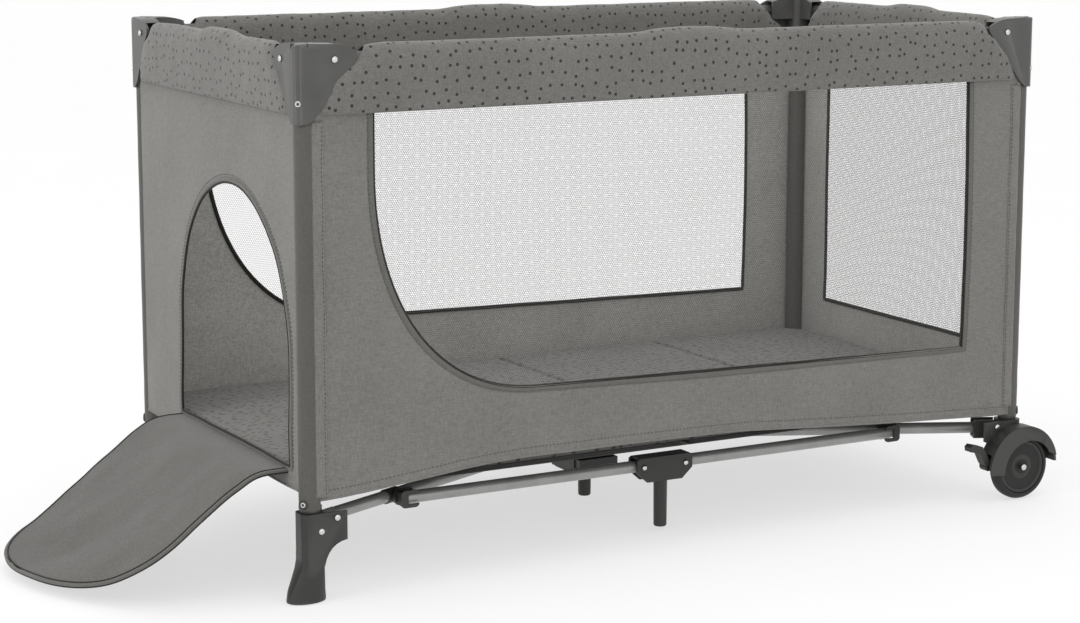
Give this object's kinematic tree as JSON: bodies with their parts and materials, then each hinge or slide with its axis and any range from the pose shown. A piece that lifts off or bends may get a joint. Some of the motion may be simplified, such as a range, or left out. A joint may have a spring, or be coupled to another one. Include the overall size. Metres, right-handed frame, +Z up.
{
  "type": "playpen",
  "caption": "Folding travel cot in warm grey fabric with a long net window, an arched side door let down as a ramp, two feet and two wheels.",
  "frame": {"origin": "centre of the footprint on the floor, the let-down ramp included", "axes": "+X along the long side towards the wheels, +Y to the back, +Z up"},
  "size_m": [1.5903, 0.688, 0.759],
  "materials": {
    "fabric": "warm grey melange weave",
    "net": "light grey hexagonal netting",
    "mattress": "grey fabric printed with short dark dashes",
    "base_cloth": "dark coated base cloth",
    "post_sleeve": "smooth dark grey sleeve over a round post",
    "grey_plastic": "fine textured",
    "dark_plastic": "fine textured",
    "grey_tube": "satin powder coat",
    "steel_tube": "satin powder coat",
    "tyre": "moulded wheel with a raised rim"
  },
  "bodies": {
    "corner_fl": {"post_fl": "post_sleeve", "corner_cap_fl": "grey_plastic", "foot_fl": "grey_plastic", "wall_front": "fabric", "net_front": "net", "wall_door": "fabric", "floor_sheet": "base_cloth", "rail_cover_front": "fabric", "rail_cover_left": "fabric"},
    "corner_fr": {"post_fr": "post_sleeve", "corner_cap_fr": "grey_plastic", "wheel_bracket_fr": "dark_plastic", "wall_right": "fabric", "net_right": "net", "rail_cover_right": "fabric"},
    "corner_bl": {"post_bl": "post_sleeve", "corner_cap_bl": "grey_plastic", "foot_bl": "grey_plastic", "wall_back": "fabric", "net_back": "net", "rail_cover_back": "fabric"},
    "corner_br": {"post_br": "post_sleeve", "corner_cap_br": "grey_plastic", "wheel_bracket_br": "dark_plastic"},
    "diagonal_fl": {"diagonal_tube_fl": "grey_tube"},
    "centre_hub": {"centre_hub": "dark_plastic"},
    "diagonal_fr": {"diagonal_tube_fr": "grey_tube"},
    "diagonal_bl": {"diagonal_tube_bl": "grey_tube"},
    "diagonal_br": {"diagonal_tube_br": "grey_tube"},
    "knuckle_fl": {"knuckle_fl": "dark_plastic"},
    "side_tube_fl": {"side_tube_fl": "grey_tube"},
    "long_rail_fl": {"long_rail_fl": "steel_tube"},
    "short_rail_fl": {"short_rail_fl": "steel_tube"},
    "knuckle_fr": {"knuckle_fr": "dark_plastic"},
    "side_tube_fr": {"side_tube_fr": "grey_tube"},
    "long_rail_fr": {"long_rail_fr": "steel_tube"},
    "short_rail_fr": {"short_rail_fr": "steel_tube"},
    "knuckle_bl": {"knuckle_bl": "dark_plastic"},
    "side_tube_bl": {"side_tube_bl": "grey_tube"},
    "long_rail_bl": {"long_rail_bl": "steel_tube"},
    "short_rail_bl": {"short_rail_bl": "steel_tube"},
    "knuckle_br": {"knuckle_br": "dark_plastic"},
    "side_tube_br": {"side_tube_br": "grey_tube"},
    "long_rail_br": {"long_rail_br": "steel_tube"},
    "short_rail_br": {"short_rail_br": "steel_tube"},
    "latch_front": {"latch_front": "dark_plastic"},
    "side_hub_front": {"side_hub_front": "grey_plastic"},
    "latch_back": {"latch_back": "dark_plastic"},
    "side_hub_back": {"side_hub_back": "grey_plastic"},
    "latch_left": {"latch_left": "dark_plastic"},
    "latch_right": {"latch_right": "dark_plastic"},
    "mattress": {"mattress": "mattress"},
    "wheel_fr": {"wheel_fr": "tyre"},
    "brake_lever_fr": {"brake_lever_fr": "dark_plastic"},
    "wheel_br": {"wheel_br": "tyre"},
    "brake_lever_br": {"brake_lever_br": "dark_plastic"},
    "ramp_1": {"ramp_panel_1": "fabric"},
    "ramp_2": {"ramp_panel_2": "fabric"},
    "ramp_3": {"ramp_panel_3": "fabric"}
  },
  "joints": [
    {"name": "frame_fold", "type": "hinge", "parent": "corner_fl", "child": "diagonal_fl", "pos_m": [-0.4432, -0.27, 0.106], "axis": [0.4261, -0.9047, 0], "range_deg": [0, 84], "deforming": ["wall_front", "wall_back", "wall_door", "wall_right", "net_front", "net_back", "net_right", "rail_cover_front", "rail_cover_back", "rail_cover_left", "rail_cover_right", "floor_sheet", "mattress"]},
    {"name": "hub_level", "type": "hinge", "parent": "diagonal_fl", "child": "centre_hub", "pos_m": [0.0748, -0.026, 0.106], "axis": [0.4261, -0.9047, 0], "range_deg": [-84, 0]},
    {"name": "diagonal_swing_fr", "type": "hinge", "parent": "centre_hub", "child": "diagonal_fr", "pos_m": [0.1788, -0.026, 0.106], "axis": [0.4261, 0.9047, 0], "range_deg": [0, 84]},
    {"name": "corner_level_fr", "type": "hinge", "parent": "diagonal_fr", "child": "corner_fr", "pos_m": [0.6968, -0.27, 0.106], "axis": [0.4261, 0.9047, 0], "range_deg": [-84, 0]},
    {"name": "diagonal_swing_bl", "type": "hinge", "parent": "centre_hub", "child": "diagonal_bl", "pos_m": [0.0748, 0.026, 0.106], "axis": [-0.4261, -0.9047, 0], "range_deg": [0, 84]},
    {"name": "corner_level_bl", "type": "hinge", "parent": "diagonal_bl", "child": "corner_bl", "pos_m": [-0.4432, 0.27, 0.106], "axis": [-0.4261, -0.9047, 0], "range_deg": [-84, 0]},
    {"name": "diagonal_swing_br", "type": "hinge", "parent": "centre_hub", "child": "diagonal_br", "pos_m": [0.1788, 0.026, 0.106], "axis": [-0.4261, 0.9047, 0], "range_deg": [0, 84]},
    {"name": "corner_level_br", "type": "hinge", "parent": "diagonal_br", "child": "corner_br", "pos_m": [0.6968, 0.27, 0.106], "axis": [-0.4261, 0.9047, 0], "range_deg": [-84, 0]},
    {"name": "knuckle_level_fl", "type": "hinge", "parent": "diagonal_fl", "child": "knuckle_fl", "pos_m": [-0.30852, -0.20656, 0.106], "axis": [0.4261, -0.9047, 0], "range_deg": [-84, 0]},
    {"name": "side_tube_swing_fl", "type": "hinge", "parent": "knuckle_fl", "child": "side_tube_fl", "pos_m": [-0.29252, -0.22916, 0.106], "axis": [0, -1, 0], "range_deg": [0, 84]},
    {"name": "long_rail_swing_fl", "type": "hinge", "parent": "corner_fl", "child": "long_rail_fl", "pos_m": [-0.4362, -0.305, 0.737], "axis": [0, 1, 0], "range_deg": [0, 84]},
    {"name": "short_rail_swing_fl", "type": "hinge", "parent": "corner_fl", "child": "short_rail_fl", "pos_m": [-0.4782, -0.268, 0.737], "axis": [-1, 0, 0], "range_deg": [0, 84]},
    {"name": "knuckle_level_fr", "type": "hinge", "parent": "diagonal_fr", "child": "knuckle_fr", "pos_m": [0.56212, -0.20656, 0.106], "axis": [0.4261, 0.9047, 0], "range_deg": [-84, 0]},
    {"name": "side_tube_swing_fr", "type": "hinge", "parent": "knuckle_fr", "child": "side_tube_fr", "pos_m": [0.54612, -0.22916, 0.106], "axis": [0, 1, 0], "range_deg": [0, 84]},
    {"name": "long_rail_swing_fr", "type": "hinge", "parent": "corner_fr", "child": "long_rail_fr", "pos_m": [0.6898, -0.305, 0.737], "axis": [0, -1, 0], "range_deg": [0, 84]},
    {"name": "short_rail_swing_fr", "type": "hinge", "parent": "corner_fr", "child": "short_rail_fr", "pos_m": [0.7318, -0.268, 0.737], "axis": [-1, 0, 0], "range_deg": [0, 84]},
    {"name": "knuckle_level_bl", "type": "hinge", "parent": "diagonal_bl", "child": "knuckle_bl", "pos_m": [-0.30852, 0.20656, 0.106], "axis": [-0.4261, -0.9047, 0], "range_deg": [-84, 0]},
    {"name": "side_tube_swing_bl", "type": "hinge", "parent": "knuckle_bl", "child": "side_tube_bl", "pos_m": [-0.29252, 0.22916, 0.106], "axis": [0, -1, 0], "range_deg": [0, 84]},
    {"name": "long_rail_swing_bl", "type": "hinge", "parent": "corner_bl", "child": "long_rail_bl", "pos_m": [-0.4362, 0.305, 0.737], "axis": [0, 1, 0], "range_deg": [0, 84]},
    {"name": "short_rail_swing_bl", "type": "hinge", "parent": "corner_bl", "child": "short_rail_bl", "pos_m": [-0.4782, 0.268, 0.737], "axis": [1, 0, 0], "range_deg": [0, 84]},
    {"name": "knuckle_level_br", "type": "hinge", "parent": "diagonal_br", "child": "knuckle_br", "pos_m": [0.56212, 0.20656, 0.106], "axis": [-0.4261, 0.9047, 0], "range_deg": [-84, 0]},
    {"name": "side_tube_swing_br", "type": "hinge", "parent": "knuckle_br", "child": "side_tube_br", "pos_m": [0.54612, 0.22916, 0.106], "axis": [0, 1, 0], "range_deg": [0, 84]},
    {"name": "long_rail_swing_br", "type": "hinge", "parent": "corner_br", "child": "long_rail_br", "pos_m": [0.6898, 0.305, 0.737], "axis": [0, -1, 0], "range_deg": [0, 84]},
    {"name": "short_rail_swing_br", "type": "hinge", "parent": "corner_br", "child": "short_rail_br", "pos_m": [0.7318, 0.268, 0.737], "axis": [1, 0, 0], "range_deg": [0, 84]},
    {"name": "latch_level_front", "type": "hinge", "parent": "long_rail_fl", "child": "latch_front", "pos_m": [0.0818, -0.305, 0.737], "axis": [0, 1, 0], "range_deg": [-84, 0]},
    {"name": "side_hub_level_front", "type": "hinge", "parent": "side_tube_fl", "child": "side_hub_front", "pos_m": [0.0908, -0.22916, 0.106], "axis": [0, -1, 0], "range_deg": [-84, 0]},
    {"name": "latch_level_back", "type": "hinge", "parent": "long_rail_bl", "child": "latch_back", "pos_m": [0.0818, 0.305, 0.737], "axis": [0, 1, 0], "range_deg": [-84, 0]},
    {"name": "side_hub_level_back", "type": "hinge", "parent": "side_tube_bl", "child": "side_hub_back", "pos_m": [0.0908, 0.22916, 0.106], "axis": [0, -1, 0], "range_deg": [-84, 0]},
    {"name": "latch_level_left", "type": "hinge", "parent": "short_rail_fl", "child": "latch_left", "pos_m": [-0.4782, -0.024, 0.737], "axis": [-1, 0, 0], "range_deg": [-84, 0]},
    {"name": "latch_level_right", "type": "hinge", "parent": "short_rail_fr", "child": "latch_right", "pos_m": [0.7318, -0.024, 0.737], "axis": [-1, 0, 0], "range_deg": [-84, 0]},
    {"name": "mattress_lift", "type": "slide", "parent": "corner_fl", "child": "mattress", "axis": [0, 0, 1], "range_m": [0, 0.75]},
    {"name": "wheel_spin_fr", "type": "hinge", "parent": "corner_fr", "child": "wheel_fr", "pos_m": [0.7298, -0.329, 0.052], "axis": [0, 1, 0], "continuous": true},
    {"name": "brake_fr", "type": "hinge", "parent": "corner_fr", "child": "brake_lever_fr", "pos_m": [0.6658, -0.327, 0.058], "axis": [0, -1, 0], "range_deg": [0, 14]},
    {"name": "wheel_spin_br", "type": "hinge", "parent": "corner_br", "child": "wheel_br", "pos_m": [0.7298, 0.329, 0.052], "axis": [0, 1, 0], "continuous": true},
    {"name": "brake_br", "type": "hinge", "parent": "corner_br", "child": "brake_lever_br", "pos_m": [0.6658, 0.327, 0.058], "axis": [0, -1, 0], "range_deg": [0, 14]},
    {"name": "ramp_door", "type": "hinge", "parent": "corner_fl", "child": "ramp_1", "pos_m": [-0.4937, -0.062, 0.1755], "axis": [0, 1, 0], "range_deg": [0, 90]},
    {"name": "ramp_bend", "type": "hinge", "parent": "ramp_1", "child": "ramp_2", "pos_m": [-0.5297, -0.062, 0.1755], "axis": [0, 1, 0], "range_deg": [0, 37.3]},
    {"name": "ramp_tip_bend", "type": "hinge", "parent": "ramp_2", "child": "ramp_3", "pos_m": [-0.73016, -0.062, 0.02279], "axis": [0, 1, 0], "range_deg": [-31.3, 0]}
  ],
  "couplings": [
    {"joint": "hub_level", "follows": "frame_fold", "ratio": -1},
    {"joint": "diagonal_swing_fr", "follows": "frame_fold", "ratio": 1},
    {"joint": "corner_level_fr", "follows": "frame_fold", "ratio": -1},
    {"joint": "diagonal_swing_bl", "follows": "frame_fold", "ratio": 1},
    {"joint": "corner_level_bl", "follows": "frame_fold", "ratio": -1},
    {"joint": "diagonal_swing_br", "follows": "frame_fold", "ratio": 1},
    {"joint": "corner_level_br", "follows": "frame_fold", "ratio": -1},
    {"joint": "knuckle_level_fl", "follows": "frame_fold", "ratio": -1},
    {"joint": "side_tube_swing_fl", "follows": "frame_fold", "ratio": 1},
    {"joint": "long_rail_swing_fl", "follows": "frame_fold", "ratio": 1},
    {"joint": "short_rail_swing_fl", "follows": "frame_fold", "ratio": 1},
    {"joint": "knuckle_level_fr", "follows": "frame_fold", "ratio": -1},
    {"joint": "side_tube_swing_fr", "follows": "frame_fold", "ratio": 1},
    {"joint": "long_rail_swing_fr", "follows": "frame_fold", "ratio": 1},
    {"joint": "short_rail_swing_fr", "follows": "frame_fold", "ratio": 1},
    {"joint": "knuckle_level_bl", "follows": "frame_fold", "ratio": -1},
    {"joint": "side_tube_swing_bl", "follows": "frame_fold", "ratio": 1},
    {"joint": "long_rail_swing_bl", "follows": "frame_fold", "ratio": 1},
    {"joint": "short_rail_swing_bl", "follows": "frame_fold", "ratio": 1},
    {"joint": "knuckle_level_br", "follows": "frame_fold", "ratio": -1},
    {"joint": "side_tube_swing_br", "follows": "frame_fold", "ratio": 1},
    {"joint": "long_rail_swing_br", "follows": "frame_fold", "ratio": 1},
    {"joint": "short_rail_swing_br", "follows": "frame_fold", "ratio": 1},
    {"joint": "latch_level_front", "follows": "frame_fold", "ratio": -1},
    {"joint": "side_hub_level_front", "follows": "frame_fold", "ratio": -1},
    {"joint": "latch_level_back", "follows": "frame_fold", "ratio": -1},
    {"joint": "side_hub_level_back", "follows": "frame_fold", "ratio": -1},
    {"joint": "latch_level_left", "follows": "frame_fold", "ratio": -1},
    {"joint": "latch_level_right", "follows": "frame_fold", "ratio": -1},
    {"joint": "mattress_lift", "follows": "frame_fold", "m_per_rad": 0.51157},
    {"joint": "ramp_bend", "follows": "ramp_door", "ratio": 0.41444},
    {"joint": "ramp_tip_bend", "follows": "ramp_door", "ratio": -0.34778}
  ]
}
